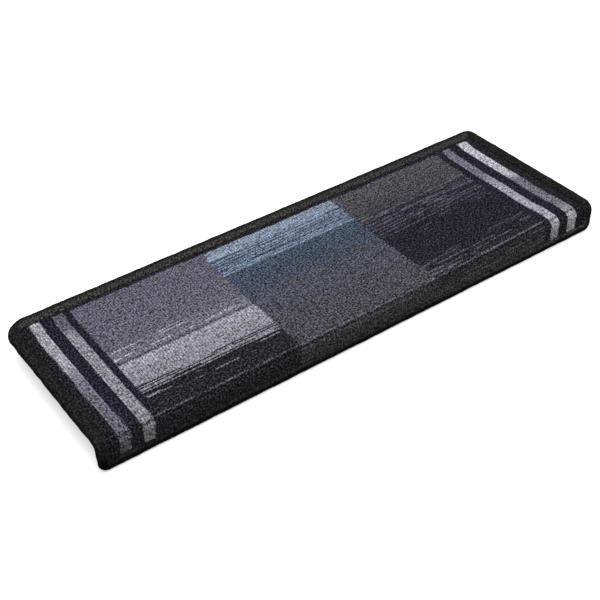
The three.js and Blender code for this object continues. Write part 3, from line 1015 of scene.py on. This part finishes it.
def whipping():
    sides, places, width, along = band_stations()
    share, base, depth, relief = band_section()
    rim = THICKNESS / 2
    round_trip = 2 * math.pi * along / (len(along) * YARN_PITCH / YARN_STEPS)
    draw = np.random.RandomState(WHIPPING_SEED)
    outer_phases, inner_phases = [draw.uniform(0, 2 * math.pi, 4) for _ in range(2)]
    outer_wave = OUTER_WAVE * closed_wave(round_trip, OUTER_WAVES, outer_phases)[:, None]
    inner_wave = INNER_WAVE * closed_wave(round_trip, INNER_WAVES, inner_phases)[:, None]
    inset = base + share * (width[:, None] - rim + inner_wave) + outer_wave * (relief > 0)

    # Each turn of yarn stands up, leans along the edge on the pile, and is a little higher or lower.
    turns = along / YARN_PITCH
    each_turn = draw.uniform(-TURN_VARIETY, TURN_VARIETY, int(turns[-1]) + 2)
    lean = turns[:, None] + YARN_LEAN * (inset - rim) / YARN_PITCH * (share > 0)
    ridge = np.abs(np.cos(math.pi * lean)) ** YARN_POWER - YARN_LEVEL
    lift = (YARN_RELIEF * ridge + each_turn[np.floor(lean).astype(int) % len(each_turn)]) * relief
    out_inset, out_depth = outward(share, base, depth)
    inset = inset + lift * out_inset
    x, s = edge_path(inset, sides[:, None], places[:, None])
    points = fold(x, s, depth + lift * out_depth)

    count, around = inset.shape
    index = np.arange(count * around).reshape(count, around)
    next_row, next_point = np.roll(index, -1, axis=0), np.roll(index, -1, axis=1)
    across = np.roll(next_row, -1, axis=1)
    faces = np.stack([index, next_row, across, next_point], -1).reshape(-1, 4)

    # How far a point belongs to the lip, wholly from half way down it, and to the back rather than to
    # the sides, which places the yarn's painted light and shade
    on_lip = smooth((s - TREAD_RUN - NOSE_RUN) / LIP_RUN * 2)
    off_mitre = LENGTH / 2 - np.abs(x) - s
    at_back = smooth((off_mitre + MITRE_BLUR) / (2 * MITRE_BLUR)) * (s < BACK_BAND + BACK_PAST)
    attributes = [
        ("turn", lean),
        ("inset", inset / MM),
        ("on_lip", on_lip),
        ("at_back", at_back),
        ("from_left", x / LENGTH + 0.5),
    ]
    return new_piece(
        "whipped_edge",
        points.reshape(-1, 3),
        faces,
        strip_uvs(count, around),
        [yarn_material()],
        attributes=attributes,
    )


# Floor just under the lip, lamp, daylight and camera
FLOOR_GAP = 0.4 * MM
FLOOR_HALF = 1.6  # metres from its middle to its sides
CAMERA_PLACE = (-0.58163, -0.82773, 0.75939)
CAMERA_AZIMUTH = math.radians(-34.348)
CAMERA_ELEVATION = math.radians(38.720)
CAMERA_ROLL = math.radians(-1.987)
CAMERA_LENS = 68.62  # millimetres, as is the width of the sensor
CAMERA_SENSOR = 36
FLOOR_WHITE = 0.9  # as the camera sees it
FLOOR_BOUNCE = 0.35  # as the object sees it
FLOOR_LIFT = 0.4
DAYLIGHT = 0.42
LAMP_POWER = 68
LAMP_PLACE = (-0.35, -0.5, 2.4)
LAMP_SIZE = 2.4


def camera_lift(tree, strength):
    """A strength that only the camera sees, directly, in gloss and through glass."""
    path = tree.nodes.new("ShaderNodeLightPath")
    seen = path.outputs["Is Camera Ray"]
    for key in ("Is Glossy Ray", "Is Transmission Ray"):
        larger = tree.nodes.new("ShaderNodeMath")
        larger.operation = "MAXIMUM"
        tree.links.new(seen, larger.inputs[0])
        tree.links.new(path.outputs[key], larger.inputs[1])
        seen = larger.outputs[0]
    scaled = tree.nodes.new("ShaderNodeMath")
    scaled.operation = "MULTIPLY"
    scaled.inputs[1].default_value = strength
    tree.links.new(seen, scaled.inputs[0])
    return scaled.outputs[0]


def make_floor():
    mesh = bpy.data.meshes.new("floor")
    level = band_low[2] - FLOOR_GAP
    corners = [(-1, -1), (1, -1), (1, 1), (-1, 1)]
    mesh.from_pydata([(x * FLOOR_HALF, y * FLOOR_HALF, level) for x, y in corners], [], [(0, 1, 2, 3)])
    shader = Shader("pale_floor", roughness=0.9, specular=0.0)
    seen = camera_lift(shader.tree, 1.0)
    color = shader.mix(seen, [FLOOR_BOUNCE] * 3 + [1], [FLOOR_WHITE] * 3 + [1])
    shader.plug(shader.surface.inputs["Base Color"], color)
    shader.surface.inputs["Emission Color"].default_value = (1, 1, 1, 1)
    shader.plug(shader.surface.inputs["Emission Strength"], shader.math("MULTIPLY", seen, FLOOR_LIFT))
    mesh.materials.append(shader.material)
    floor = bpy.data.objects.new("floor", mesh)
    bpy.context.scene.collection.objects.link(floor)


def make_world():
    world = bpy.data.worlds.new("daylight")
    bpy.context.scene.world = world
    world.use_nodes = True
    tree = world.node_tree
    background = tree.nodes["Background"]
    background.inputs[0].default_value = (1, 1, 1, 1)
    total = tree.nodes.new("ShaderNodeMath")
    total.inputs[1].default_value = DAYLIGHT
    tree.links.new(camera_lift(tree, 1 - DAYLIGHT), total.inputs[0])
    tree.links.new(total.outputs[0], background.inputs[1])


def make_lamp():
    light = bpy.data.lights.new("soft_lamp", "AREA")
    light.energy = LAMP_POWER
    light.size = LAMP_SIZE
    lamp = bpy.data.objects.new("soft_lamp", light)
    lamp.location = LAMP_PLACE
    lamp.rotation_euler = (-lamp.location).to_track_quat("-Z", "Y").to_euler()
    bpy.context.scene.collection.objects.link(lamp)


def make_camera():
    data = bpy.data.cameras.new("camera")
    data.lens = CAMERA_LENS
    data.sensor_width = CAMERA_SENSOR
    camera = bpy.data.objects.new("camera", data)
    turned = Matrix.Rotation(CAMERA_AZIMUTH, 4, "Z")
    turned = turned @ Matrix.Rotation(math.pi / 2 - CAMERA_ELEVATION, 4, "X")
    camera.matrix_world = Matrix.Translation(CAMERA_PLACE) @ turned @ Matrix.Rotation(CAMERA_ROLL, 4, "Z")
    bpy.context.scene.collection.objects.link(camera)
    bpy.context.scene.camera = camera


make_camera()
make_floor()
make_world()
make_lamp()

pile = carpet()
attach(pile, "root")
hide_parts("carpet_mat")

band = whipping()
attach(band, "root")
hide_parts("edge_whipping")

bpy.context.scene.view_settings.view_transform = "Standard"
